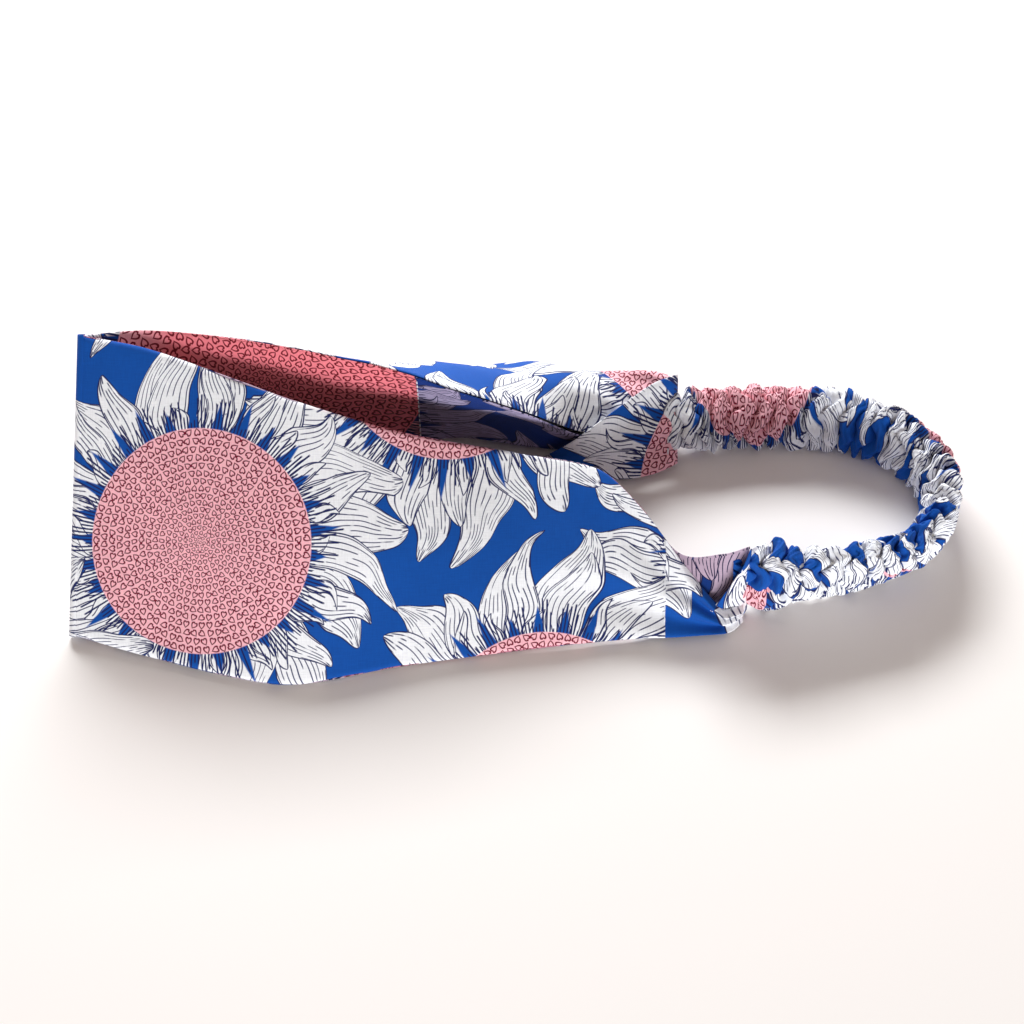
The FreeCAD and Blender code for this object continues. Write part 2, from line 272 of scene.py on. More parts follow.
def row_at(table, x):
    """The table's row at x, on smooth curves through its rows."""
    i = max(k for k in range(len(table) - 1) if k == 0 or table[k][0] <= x)
    rows = table[max(0, i - 1)], table[i], table[i + 1], table[min(len(table) - 1, i + 2)]
    steps = rows[2][0] - rows[0][0], rows[2][0] - rows[1][0], rows[3][0] - rows[1][0]
    u = (x - rows[1][0]) / steps[1]
    return [eased(*values, steps, u) for values in zip(*(row[1:] for row in rows))]


def across(points, share):
    """The point at a share of the way along a smooth curve through some points."""
    at = [0.0]
    for a, b in zip(points, points[1:]):
        at.append(at[-1] + (b - a).length)
    distance = share * at[-1]
    i = max(k for k in range(len(points) - 1) if k == 0 or at[k] <= distance)
    near = [max(0, i - 1), i, i + 1, min(len(points) - 1, i + 2)]
    steps = at[near[2]] - at[near[0]], at[near[2]] - at[near[1]], at[near[3]] - at[near[1]]
    u = (distance - at[i]) / steps[1]
    return Vector([eased(*(points[k][axis] for k in near), steps, u) for axis in range(3)])


def fabric_length(points):
    """The length of a line through some points."""
    return sum((b - a).length for a, b in zip(points, points[1:]))


def cross_line(table, x):
    """The points across a strap's layer at x."""
    row = row_at(table, x)
    return [Vector((x, row[k], row[k + 1])) for k in range(0, len(row), 2)]


def strap_point(table, x, share, offset):
    """A point beside a strap's layer, in table millimetres."""
    points, inner = cross_line(table, x), clamped(share)
    low, high = across(points, max(0.0, inner - 0.01)), across(points, min(1.0, inner + 0.01))
    along = (high - low).normalized()
    normal = Vector((1, 0, 0)).cross(along)
    point = across(points, inner) + normal * offset + along * (share - inner) * fabric_length(points)
    point.z = max(point.z, LOWEST)
    point.x += CREASE_LEAN * point.z * max(0.0, 1 - x / LEAN_ENDS) ** 2
    return point


def to_row(point):
    """Table millimetres as metres in the row's frame."""
    return (point - MIDDLE) * MM


def grid_piece(name, point, fabric, counts, thickness=0.0, offset=0.0):
    """A cloth piece from a grid: point(u, v) places it, and fabric(u, v) is its place on the printed cloth."""
    mesh, bm = bpy.data.meshes.new(name), bmesh.new()
    bmesh.ops.create_grid(bm, x_segments=counts[0], y_segments=counts[1], size=1)
    shares = {v.index: ((v.co.x + 1) / 2, (v.co.y + 1) / 2) for v in bm.verts}
    layer = bm.loops.layers.uv.new("fabric")
    for face in bm.faces:
        for loop in face.loops:
            loop[layer].uv = Vector(fabric(*shares[loop.vert.index])) * MM
        face.smooth = True
    for v in bm.verts:
        v.co = to_row(point(*shares[v.index]))
    bm.to_mesh(mesh)
    bm.free()
    piece = bpy.data.objects.new(name, mesh)
    bpy.context.scene.collection.objects.link(piece)
    if thickness:
        cloth = piece.modifiers.new("cloth", "SOLIDIFY")
        cloth.thickness, cloth.offset, cloth.use_even_offset = thickness * MM, offset, False
    return piece


class Graph:
    """Adds shader nodes to a tree. A value is a number, a colour or the socket that feeds it."""

    def __init__(self, tree):
        self.tree = tree

    def feed(self, socket, value):
        """Links a socket to the one that feeds it, or sets its number."""
        if isinstance(value, bpy.types.NodeSocket):
            self.tree.links.new(value, socket)
        elif value is not None:
            socket.default_value = value

    def node(self, kind, *values, **settings):
        """Adds a node and feeds its inputs in order. None leaves one as it is."""
        node = self.tree.nodes.new("ShaderNode" + kind)
        for name, value in settings.items():
            setattr(node, name, value)
        for socket, value in zip(node.inputs, values):
            self.feed(socket, value)
        return node

    def math(self, operation, *values, clamp=False):
        """One step of arithmetic."""
        return self.node("Math", *values, operation=operation, use_clamp=clamp).outputs[0]

    def vector(self, operation, *values):
        """One step of vector arithmetic."""
        return self.node("VectorMath", *values, operation=operation).outputs[0]

    def blended(self, kind, ending, share, first, second):
        """The first value where share is 0, and the second where it is 1."""
        node = self.tree.nodes.new("ShaderNodeMix")
        node.data_type = kind
        for name, value in (("Factor_Float", share), ("A" + ending, first), ("B" + ending, second)):
            self.feed(next(s for s in node.inputs if s.identifier == name), value)
        return next(s for s in node.outputs if s.identifier == "Result" + ending)

    def mix(self, share, first, second):
        """The first colour where share is 0, and the second where it is 1."""
        tones = [tone if isinstance(tone, bpy.types.NodeSocket) else (*tone, 1) for tone in (first, second)]
        return self.blended("RGBA", "_Color", share, *tones)

    def choose(self, share, first, second):
        """The first place where share is 0, and the second where it is 1."""
        return self.blended("VECTOR", "_Vector", share, first, second)

    def random(self, seed):
        """A fixed random number from 0 to 1 for each whole number."""
        return self.node("TexWhiteNoise", None, seed, noise_dimensions="1D").outputs[0]

    def below(self, value, limit, soft=0.12):
        """1 where the value is under the limit, with a soft edge."""
        return self.math("DIVIDE", self.math("SUBTRACT", limit, value), soft, clamp=True)

    def both(self, *masks):
        """1 where every mask is 1."""
        found = masks[0]
        for mask in masks[1:]:
            found = self.math("MULTIPLY", found, mask)
        return found

    def relief(self, height, strength, distance):
        """The normal of a raised pattern."""
        bump = self.tree.nodes.new("ShaderNodeBump")
        for name, value in (("Strength", strength), ("Distance", distance), ("Height", height)):
            self.feed(bump.inputs[name], value)
        return bump.outputs[0]

    def put(self, name, value):
        """Gives a group its output."""
        self.tree.links.new(value, self.tree.nodes["Group Output"].inputs[name])


def node_group(name, inputs, outputs):
    """A new shader node group with named sockets, and its graph and input node."""
    tree = bpy.data.node_groups.new(name, "ShaderNodeTree")
    for label, kind in inputs:
        tree.interface.new_socket(label, in_out="INPUT", socket_type="NodeSocket" + kind)
    for label, kind in outputs:
        tree.interface.new_socket(label, in_out="OUTPUT", socket_type="NodeSocket" + kind)
    source = tree.nodes.new("NodeGroupInput")
    tree.nodes.new("NodeGroupOutput").name = "Group Output"
    return tree, Graph(tree), source


def use_group(graph, group, **values):
    """Places a node group in a tree."""
    node = graph.tree.nodes.new("ShaderNodeGroup")
    node.node_tree = group
    for name, value in values.items():
        graph.feed(node.inputs[name], value)
    return node


def petals(g, polar, count, shift, reach, width, seed):
    """A ring of pointed petals: its mask, and the mask of its outlines and veins."""
    radius, turns = polar
    root = look().disc / MM - PETAL_ROOT
    place = g.math("MULTIPLY_ADD", turns, float(count), shift)
    number = g.math("FLOOR", place)
    key = g.math("ADD", g.math("FLOORED_MODULO", number, float(count)), seed)
    draws = [g.math("SUBTRACT", g.random(g.math("ADD", key, skip)), 0.5) for skip in (0.0, 31.7, 57.3)]
    length = g.math("MINIMUM", g.math("MULTIPLY_ADD", draws[0], reach[1], reach[0]), LONGEST)
    t = g.math("DIVIDE", g.math("SUBTRACT", radius, root), g.math("SUBTRACT", length, root), clamp=True)
    lean = g.math("MULTIPLY", draws[1], g.math("MULTIPLY", t, t))
    sway = g.math("MULTIPLY", draws[2], g.math("MULTIPLY", g.math("SINE", g.math("MULTIPLY", t, 6.0)), 0.3))
    spacing = g.math("MULTIPLY", radius, 2 * math.pi / count)
    middle = g.math("SUBTRACT", g.math("SUBTRACT", place, number), 0.5)
    bend = g.math("ADD", g.math("MULTIPLY", lean, 0.9), sway)
    side = g.math("MULTIPLY", g.math("SUBTRACT", middle, bend), spacing)
    swell = g.math("MULTIPLY_ADD", g.math("SINE", g.math("MULTIPLY", t, 2.7)), 0.5 * width, 0.6 * width)
    swell = g.math("MULTIPLY", swell, g.math("MULTIPLY_ADD", draws[2], 0.4, 1.0))
    half = g.math("MULTIPLY", swell, g.math("POWER", g.math("SUBTRACT", 1.0, t), 0.48))
    off = g.math("ABSOLUTE", side)
    inside = g.below(off, half)
    seam = g.math("MULTIPLY", g.math("SUBTRACT", 0.5, g.math("ABSOLUTE", middle)), spacing)
    edge = g.below(g.math("MINIMUM", g.math("SUBTRACT", half, off), seam), 0.5)
    strand = g.math("MULTIPLY", g.math("DIVIDE", side, g.math("ADD", half, 0.3)), 0.56 * width)
    nearest = g.math("ABSOLUTE", g.math("SUBTRACT", strand, g.math("ROUND", strand)))
    vein = g.below(g.math("MULTIPLY", nearest, g.math("MULTIPLY", half, 1.78 / width)), 0.2)
    strand_key = g.math("ADD", g.math("ROUND", strand), key)
    spot = g.node("CombineXYZ", g.math("MULTIPLY", radius, 0.16), strand_key, 0.0).outputs[0]
    dash = g.node("TexNoise", spot, None, 1.0, 1.0).outputs[0]
    dashes = g.below(g.math("MULTIPLY_ADD", t, 0.12, 0.37), dash, 0.04)
    return inside, g.math("MAXIMUM", edge, g.both(vein, dashes))


def flower_group():
    """One flower head of the print: a disc of small hearts inside three rings of petals."""
    outputs = [("Color", "Color"), ("Mask", "Float"), ("Disc", "Float")]
    tree, g, source = node_group("flower head", [("From Middle", "Vector"), ("Seed", "Float")], outputs)
    colors, edge = look(), look().disc / MM
    part = g.node("SeparateXYZ", source.outputs["From Middle"])
    x, y, seed = part.outputs[0], part.outputs[1], source.outputs["Seed"]
    radius = g.math("SQRT", g.math("ADD", g.math("MULTIPLY", x, x), g.math("MULTIPLY", y, y)))
    wobble = g.node("TexNoise", source.outputs["From Middle"], None, 0.05, 1.0).outputs[0]
    turns = g.math("ADD", g.math("DIVIDE", g.math("ARCTAN2", y, x), 2 * math.pi), 0.5)
    swept = g.math("ADD", turns, g.math("MULTIPLY", g.math("SUBTRACT", radius, edge), 0.0009))
    polar = radius, g.math("ADD", swept, g.math("MULTIPLY", g.math("SUBTRACT", wobble, 0.5), 0.03))
    color, mask = colors.ground, 0.0
    for count, shift, reach, width in RINGS:
        inside, lines = petals(g, polar, count, shift, reach, width, g.math("ADD", seed, count * 1.0))
        color = g.mix(inside, color, g.mix(lines, colors.petal, colors.line))
        mask = g.math("MAXIMUM", mask, inside)
    gap = g.math("MULTIPLY", turns, GAPS)
    gap_number = g.math("ROUND", gap)
    gap_reach = g.math("MULTIPLY_ADD", g.random(g.math("ADD", gap_number, 400.0)), 9.0, 3.5)
    along = g.math("DIVIDE", g.math("SUBTRACT", radius, edge), gap_reach)
    narrowing = g.math("SUBTRACT", 0.27, g.math("MULTIPLY", along, 0.27))
    wedge = g.below(g.math("ABSOLUTE", g.math("SUBTRACT", gap, gap_number)), narrowing, 0.05)
    color = g.mix(wedge, color, colors.ground)
    comb = g.math("MULTIPLY", turns, TUFTS)
    tooth = g.math("ABSOLUTE", g.math("SUBTRACT", comb, g.math("ROUND", comb)))
    tuft = g.math("MULTIPLY_ADD", g.random(g.math("ROUND", comb)), 8.5, edge + 1.0)
    hatch = g.both(g.below(tooth, 0.27, 0.1), g.below(radius, tuft, 0.5))
    color = g.mix(hatch, color, colors.line)
    spread = g.math("MULTIPLY", g.math("POWER", g.math("DIVIDE", radius, edge), HEART_CROWD), float(HEART_ROWS))
    ring = g.math("FLOOR", spread)
    around = g.math("ADD", g.math("MULTIPLY", g.math("ADD", ring, 0.5), 2 * math.pi * HEART_CROWD), 0.5)
    around = g.math("MAXIMUM", 1.0, g.math("FLOOR", around))
    cell = g.math("ADD", g.math("MULTIPLY", turns, around), g.random(g.math("ADD", ring, seed)))
    number = g.math("FLOOR", cell)
    hx = g.math("MULTIPLY", g.math("SUBTRACT", g.math("SUBTRACT", cell, number), 0.5), 2.3)
    hy = g.math("MULTIPLY", g.math("SUBTRACT", 0.5, g.math("SUBTRACT", spread, ring)), 2.3)
    tip = g.random(g.math("MULTIPLY_ADD", ring, 131.0, number))
    tip = g.math("MULTIPLY", g.math("SUBTRACT", tip, 0.5), 2.4)
    upright = g.node("CombineXYZ", hx, hy, 0.0).outputs[0]
    turned = g.node("VectorRotate", upright, None, None, tip, rotation_type="Z_AXIS")
    hx, hy = g.node("SeparateXYZ", turned.outputs[0]).outputs[:2]
    cleft = g.math("MULTIPLY", g.math("SQRT", g.math("ABSOLUTE", hx)), 0.75)
    hy = g.math("ADD", g.math("SUBTRACT", hy, cleft), 0.22)
    heart = g.math("SQRT", g.math("ADD", g.math("MULTIPLY", hx, hx), g.math("MULTIPLY", hy, hy)))
    line = g.below(g.math("ABSOLUTE", g.math("SUBTRACT", heart, 0.76)), 0.28, 0.14)
    disc = g.below(radius, edge, 0.3)
    color = g.mix(disc, color, g.mix(line, colors.disc_color, colors.heart))
    g.put("Color", color)
    g.put("Mask", g.math("MAXIMUM", mask, g.math("MAXIMUM", disc, hatch)))
    g.put("Disc", disc)
    return tree


def print_group():
    """The whole print: flower heads repeated over a royal blue ground. Its place is in millimetres of cloth."""
    tree, g, source = node_group("flower print", [("Cloth Place", "Vector")], [("Color", "Color")])
    (ax, ay), (bx, by) = STEPS
    flower, whole = flower_group(), ax * by - ay * bx
    part = g.node("SeparateXYZ", source.outputs[0])
    x, y = part.outputs[0], part.outputs[1]
    first_steps = g.math("SUBTRACT", g.math("MULTIPLY", x, by), g.math("MULTIPLY", y, bx))
    second_steps = g.math("SUBTRACT", g.math("MULTIPLY", y, ax), g.math("MULTIPLY", x, ay))
    i, j = (g.math("FLOOR", g.math("DIVIDE", steps, whole)) for steps in (first_steps, second_steps))
    heads = []
    for di, dj in ((0, 0), (1, 0), (0, 1), (1, 1)):
        a, b = g.math("ADD", i, float(di)), g.math("ADD", j, float(dj))
        mx = g.math("ADD", g.math("MULTIPLY", a, ax), g.math("MULTIPLY", b, bx))
        my = g.math("ADD", g.math("MULTIPLY", a, ay), g.math("MULTIPLY", b, by))
        seed = g.math("ADD", g.math("MULTIPLY", a, 7.0), g.math("MULTIPLY", b, 13.0))
        dx, dy = g.math("SUBTRACT", x, mx), g.math("SUBTRACT", y, my)
        away = g.math("ADD", g.math("MULTIPLY", dx, dx), g.math("MULTIPLY", dy, dy))
        heads.append((g.node("CombineXYZ", dx, dy, seed).outputs[0], away))
    (first, near), (second, next_near) = heads[0], ((1e3, 1e3, 0.0), 1e6)
    for head, away in heads[1:]:
        nearest, nearer = g.math("LESS_THAN", away, near), g.math("LESS_THAN", away, next_near)
        second = g.choose(nearest, g.choose(nearer, second, head), first)
        next_near = g.math("MAXIMUM", near, g.math("MINIMUM", away, next_near))
        first, near = g.choose(nearest, first, head), g.math("MINIMUM", near, away)
    seeds = [g.node("SeparateXYZ", head).outputs[2] for head in (first, second)]
    swap = g.math("GREATER_THAN", *seeds)
    drawn = []
    for head in (g.choose(swap, second, first), g.choose(swap, first, second)):
        parts = g.node("SeparateXYZ", head).outputs
        middle = g.node("CombineXYZ", parts[0], parts[1], 0.0).outputs[0]
        drawn.append(use_group(g, flower, **{"From Middle": middle, "Seed": parts[2]}).outputs)
    under, over = drawn
    color = g.mix(under["Mask"], look().ground, under["Color"])
    color = g.mix(over["Mask"], color, over["Color"])
    color = g.mix(under["Disc"], color, under["Color"])
    g.put("Color", color)
    return tree


def cloth_group():
    """The weave of plain cotton: uneven threads in its colour and its relief."""
    inputs, outputs = [("Color", "Color"), ("Cloth Place", "Vector")], [("Color", "Color"), ("Normal", "Vector")]
    tree, g, source = node_group("cotton weave", inputs, outputs)
    part = g.node("SeparateXYZ", source.outputs["Cloth Place"])
    waves = []
    for axis, pitch in ((0, WEFT), (1, WARP)):
        waves.append(g.math("SINE", g.math("MULTIPLY", part.outputs[axis], 2 * math.pi / pitch)))
    weave = g.math("MULTIPLY", *waves)
    threads = []
    for stretch in ((0.25, 3.0, 1), (3.0, 0.25, 1)):
        streak = g.vector("MULTIPLY", source.outputs["Cloth Place"], stretch)
        threads.append(g.node("TexNoise", streak, None, 1.0, 2.0).outputs[0])
    cloud = g.node("TexNoise", source.outputs["Cloth Place"], None, 0.06, 2.0).outputs[0]
    shade = g.math("ADD", g.math("MULTIPLY", g.math("ADD", *threads), 0.26), g.math("MULTIPLY", cloud, 0.14))
    shade = g.math("ADD", shade, g.math("MULTIPLY_ADD", weave, 0.05, 0.67))
    scaled = g.vector("SCALE", source.outputs["Color"])
    tree.links.new(shade, scaled.node.inputs["Scale"])
    height = g.math("ADD", weave, g.math("MULTIPLY", g.math("ADD", *threads), 1.2))
    g.put("Color", scaled)
    g.put("Normal", g.relief(height, 0.35, 0.00006))
    return tree


def shared(name, build):
    """A node group made the first time that it is asked for."""
    return bpy.data.node_groups.get(name) or build()


def cotton(name, middle, turn=0.0, tint=None, painted_shade_from=-30.0, scale=1.0):
    """Printed cotton. middle is where a flower's middle lies on the cloth, in millimetres, and turn is in degrees.
    tint is painted shade: it deepens the colours from a given place along the cloth onwards, where shade falls on a
    lining."""
    material = bpy.data.materials.new(name)
    material.use_nodes = True
    g = Graph(material.node_tree)
    surface = material.node_tree.nodes["Principled BSDF"]
    uv = g.node("UVMap", uv_map="fabric").outputs[0]
    cloth = g.vector("MULTIPLY", uv, (1 / MM, 1 / MM, 0))
    turned, sized = (0, 0, math.radians(turn)), (scale, scale, 1)
    place = g.node("Mapping", cloth, (*middle, 0), turned, sized, vector_type="TEXTURE").outputs[0]
    color = use_group(g, shared("flower print", print_group), **{"Cloth Place": place}).outputs[0]
    # Painted shade: past the given place the colours are multiplied by the tint, darkening the lining as shade
    # would
    if tint:
        along = g.node("SeparateXYZ", cloth).outputs[0]
        share = g.math("DIVIDE", g.math("SUBTRACT", along, painted_shade_from), PAINTED_SHADE_FADE, clamp=True)
        color = g.mix(share, color, g.vector("MULTIPLY", color, tint))
    weave = use_group(g, shared("cotton weave", cloth_group), **{"Color": color, "Cloth Place": place})
    material.node_tree.links.new(weave.outputs["Color"], surface.inputs["Base Color"])
    material.node_tree.links.new(weave.outputs["Normal"], surface.inputs["Normal"])
    surface.inputs["Roughness"].default_value = 0.85
    surface.inputs["Sheen Weight"].default_value = 0.04
    surface.inputs["Sheen Roughness"].default_value = 0.5
    surface.inputs["Specular IOR Level"].default_value = 0.22
    return material


def plain(name, color, roughness, weave=0.0):
    """An even finish: thread, woven elastic or the floor."""
    material = bpy.data.materials.new(name)
    material.use_nodes = True
    g = Graph(material.node_tree)
    surface = material.node_tree.nodes["Principled BSDF"]
    where = g.node("TexCoord").outputs["Object"]
    noisy = g.node("TexNoise", where, None, 900.0 if weave else 5.0, 3.0).outputs[0]
    shade = g.math("MULTIPLY_ADD", noisy, 0.16 if weave else 0.01, 0.92 if weave else 0.995)
    tint = g.vector("MULTIPLY", (*color,), g.node("CombineXYZ", shade, shade, shade).outputs[0])
    material.node_tree.links.new(tint, surface.inputs["Base Color"])
    if weave:
        ribs = g.node("TexWave", where, weave, bands_direction="X").outputs[1]
        g.tree.links.new(g.relief(ribs, 0.5, 0.0001), surface.inputs["Normal"])
    surface.inputs["Roughness"].default_value = roughness
    surface.inputs["Sheen Weight"].default_value = 0.1 if weave else 0.0
    return material


def ruffle(x, share, scale=1.0):
    """The cloth's own soft unevenness, in millimetres."""
    wide = noise.noise(Vector((x * 0.035, share * 2.2, 3.1)))
    fine = noise.noise(Vector((x * 0.11, share * 5.0, 8.4)))
    return scale * clamped(x / 9) * (0.9 * wide + 0.3 * fine)


def rounded_crease(x, radius=1.7):
    """The bend of a layer round the front crease."""
    past = min(max(0.5 - x, 0.0), radius)
    return math.sqrt(radius * radius - past * past) - radius


def turned_in(x, end, reach=2.6, depth=2.2):
    """The last stretch before a gathered end, which turns in towards the casing."""
    return -depth * clamped((x - end + reach) / reach) ** 2


def pleats(x, share, start, end, folds, depth):
    """Folds that run along the strap and deepen towards its gathered end."""
    grip = clamped((x - start) / (end - start))
    return depth * grip * grip * (3 - 2 * grip) * math.sin(2 * math.pi * folds * share + 1.3 * grip)


def laid(table, start, end, offset, shape):
    """The placing function of a layer: u runs along the strap and v across it."""

    def point(u, v):
        x = start + (end - start) * u
        return strap_point(table, x, v, offset + shape(x, v))

    return point


def flat_place(table, start, end):
    """The cloth of a layer by distance along the strap and distance across it from the first edge."""
    steps = 40
    widths = [fabric_length(cross_line(table, start + (end - start) * k / steps)) for k in range(steps + 1)]

    def place(u, v):
        k = min(int(u * steps), steps - 1)
        width = widths[k] + (widths[k + 1] - widths[k]) * (u * steps - k)
        return start + (end - start) * u, v * width

    return place


def face_on_place(table, start, end):
    """The cloth of the near strap's face, measured on its own slope."""

    def place(u, v):
        x = start + (end - start) * u
        point = across(cross_line(table, x), v)
        return x, point.y * NEAR_SLOPE[0] + point.z * NEAR_SLOPE[1]

    return place


def edged(offset, reach):
    """A layer's offset that turns over at the strap's two edges, where it is sewn to the other layer."""

    def shape(x, share):
        rim = max(0.0, 1 - min(share, 1 - share) / reach)
        return -offset * (1 - math.sqrt(max(0.0, 1 - rim * rim)))

    return shape


def finished(name, piece):
    """Dresses a cloth piece, hangs it on its body and hides the CAD pieces that it stands for."""
    slot, body, nodes, flat, held, area = CUTS[name]
    piece.data.materials.append(cotton(**PRINTS[name]))
    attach(piece, body)
    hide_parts(*nodes)


def layer(name, table, ends, offset, shape, counts, side, place=flat_place):
    """One layer of a strap between two places along it. side says which way its thickness grows."""
    point, fabric = laid(table, *ends, offset, shape), place(table, *ends)
    finished(name, grid_piece(name, point, fabric, counts, look().fabric / MM, side))


def build_near_strap():
    """The strap that faces the viewer: two outer panels and the lining behind them."""
    edge = edged(0.75, 0.022)

    def outer(x, share):
        return edge(x, share) + ruffle(x, share, 0.7) + pleats(x, share, 118, 172, 2.5, 1.1) + rounded_crease(x)

    def lining(x, share):
        return -edge(x, share) - ruffle(x, share, 0.4)

    end = NEAR_OUTER + NEAR_CORNER
    layer("near_outer_cloth", NEAR_OUTER, (-1.0, 165.2), 0.8, outer, (300, 120), -1, face_on_place)
    layer("near_outer_end_cloth", end, (164.9, 187.2), 0.6, outer, (80, 60), -1, face_on_place)
    layer("near_lining_cloth", NEAR_LINING, (0.3, 188), -0.75, lining, (300, 90), 1)


def build_far_strap():
    """The strap behind: its lining in the shade, and its outer layer puffed out behind."""
    edge = edged(0.5, 0.03)

    def lining(x, share):
        return ruffle(x, share, 0.5)

    def outer(x, share):
        slant = math.sin(0.17 * x + 9.0 * share) * math.sin(math.pi * clamped(share))
        loose = clamped(x / 60) * (ruffle(x, share, 0.6) + 0.7 * slant)
        folds = pleats(x, share, 128, 168, 6.0, 0.5)
        return edge(x, share) + loose + folds + turned_in(x, 169.9) + rounded_crease(x)

    layer("far_lining_cloth", FAR_LINING, (0.3, 96.2), 0.0, lining, (180, 90), 0)
    layer("far_lining_end_cloth", FAR_LINING, (95.8, 158), 0.0, lining, (120, 70), 0)
    layer("far_outer_cloth", FAR_OUTER, (-0.2, 169.9), 0.25, outer, (300, 160), -1)


def build_end_tucks():
    """The folds that wrap over each strap's end where it meets the casing."""

    def far(x, share):
        return pleats(x, share, 140, 168, 2.2, 0.7) + ruffle(x, share, 0.4) + turned_in(x, 170.3)

    def near(x, share):
        bulge = 1.4 * math.sin(math.pi * clamped((x - 176) / 12))
        return bulge + pleats(x, share, 178, 186, 1.6, 0.4) + turned_in(x, 188.4)

    layer("far_tuck_cloth", FAR_TUCK, (131, 170.3), 0.1, far, (110, 70), 0)
    layer("near_tuck_cloth", NEAR_TUCK, (177, 188.4), 0.0, near, (50, 60), 0)


def build_front_fold():
    """The cotton that turns round the front crease."""
    low, high = (Vector(end) for end in FOLD_ENDS)
    axis = (high - low).normalized()
    ahead = (axis * axis.x - Vector((1, 0, 0))).normalized()
    side = axis.cross(ahead)
    side = side if side.z > 0 else -side

    def point(u, v):
        turn = math.radians(-8 + 196 * u)
        ring = side * math.cos(turn) + ahead * math.sin(turn)
        rise = -0.3 + (fabric_length([low, high]) + 0.5) * v
        return low + axis * rise + ring * FOLD_RADIUS

    def place(u, v):
        return -4.5 * u + 0.3, v * 84.5 + 1.0

    name = "front_fold_cloth"
    finished(name, grid_piece(name, point, place, (24, 160), look().fabric / MM, 0))


def casing_frame(share):
    """A point of the casing's middle line, its direction, and the directions of its width and thickness."""
    points, inner = [Vector(p) for p in CASING_PATH], clamped(share)
    low, high = across(points, max(0.0, inner - 0.004)), across(points, min(1.0, inner + 0.004))
    along = (high - low).normalized()
    level = Vector((0, 0, 1)).cross(along).normalized()
    tilt = math.radians(FAR_TILT + (NEAR_TILT - FAR_TILT) * inner)
    wide = level * math.cos(tilt) + along.cross(level) * math.sin(tilt)
    middle = across(points, inner) + along * (share - inner) * CASING_LENGTH
    middle.z -= SAG * math.exp(-(((share - SAG_AT) / SAG_REACH) ** 2))
    return middle, along, wide, along.cross(wide)


CASING_LENGTH = fabric_length([Vector(p) for p in CASING_PATH])


def gather(share, turn):
    """How far a gathered tube stands out: rounded puffs between tight creases, uneven round the tube."""
    x, y = math.cos(turn), math.sin(turn)
    drift = noise.noise(Vector((share * 7.0, 1.2 * x, 1.2 * y + 4.0)))
    twist = noise.noise(Vector((share * 17.0, 2.2 * x, 2.2 * y + 9.0)))
    phase = math.pi * look().gathers * share + 2.8 * drift + 1.2 * twist
    puff = abs(math.sin(phase)) ** 0.5
    crumple = abs(math.sin(2.3 * phase + 3.4 * twist + 1.7 * y)) ** 0.6
    size = 0.85 + 0.55 * noise.noise(Vector((share * 21.0, 0.9 * x, 0.9 * y + 17.0)))
    return size * (puff - 0.64) + 0.16 * (crumple - 0.55)


def casing_point(share, turn):
    """A point of the gathered casing, in table millimetres."""
    middle, along, wide, thick = casing_frame(share)
    ends = min(1.0, 0.4 + 12 * min(share + 0.03, 1.03 - share))
    swell = 1.0 + SWELL * math.exp(-(((share - SWELL_AT) / SWELL_REACH) ** 2))
    a, b = look().casing_width / MM / 2 * swell, look().casing_depth / MM / 2 * swell * (0.8 + 0.2 * ends)
    c, s = math.cos(turn), math.sin(turn)
    out = wide * (a * math.copysign(abs(c) ** 0.8, c)) + thick * (b * math.copysign(abs(s) ** 0.8, s))
    raised = gather(share, turn) * ends
    lean = noise.noise(Vector((share * 26.0, 1.4 * c, 1.4 * s))) * 2.0 * ends
    height = look().gather_depth / MM * raised * (1 + 0.6 * abs(c) ** 3)
    point = middle + out + out.normalized() * height + along * lean
    point.z = max(point.z, 0.3)
    return point


def build_elastic():
    """The gathered casing and the elastic inside it, built in lengths along the loop."""
    cloth, band = cotton(**PRINTS["casing"]), plain("white elastic", look().elastic, 0.8, 260.0)
    for name, (first, last), (a, b), (start, end), nodes, hidden in SPANS:
        length = (last - first) * CASING_LENGTH

        def tube(u, v):
            return casing_point(first + (last - first) * u, 2 * math.pi * (v + 0.75))

        def tube_cloth(u, v):
            return (first + (last - first) * u) * CASING_LENGTH * FULLNESS, v * CASING_CUT

        def ribbon(u, v):
            middle, _, wide, thick = casing_frame(clamped(first + (last - first) * u))
            return middle + wide * look().elastic_width / MM * (v - 0.5) - thick * ELASTIC_INSET

        def ribbon_cloth(u, v):
            return u * length, v * ELASTIC_CUT

        casing = grid_piece("casing_" + name, tube, tube_cloth, (int(length * CASING_GRID), 96))
        casing.data.materials.append(cloth)
        close_tube(casing)
        strip = grid_piece("elastic_" + name, ribbon, ribbon_cloth, (int(length), 8), ELASTIC_THICKNESS, 0)
        strip.data.materials.append(band)
        for piece, slot, replaced in ((casing, "print_cotton", nodes), (strip, "elastic", hidden)):
            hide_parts(*replaced)
            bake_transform(piece)


def close_tube(piece):
    """Joins the two long edges of a rolled grid, keeping the print's place on each side of the seam."""
    bm = bmesh.new()
    bm.from_mesh(piece.data)
    bmesh.ops.remove_doubles(bm, verts=bm.verts, dist=0.000005)
    bmesh.ops.recalc_face_normals(bm, faces=bm.faces)
    bm.to_mesh(piece.data)
    bm.free()


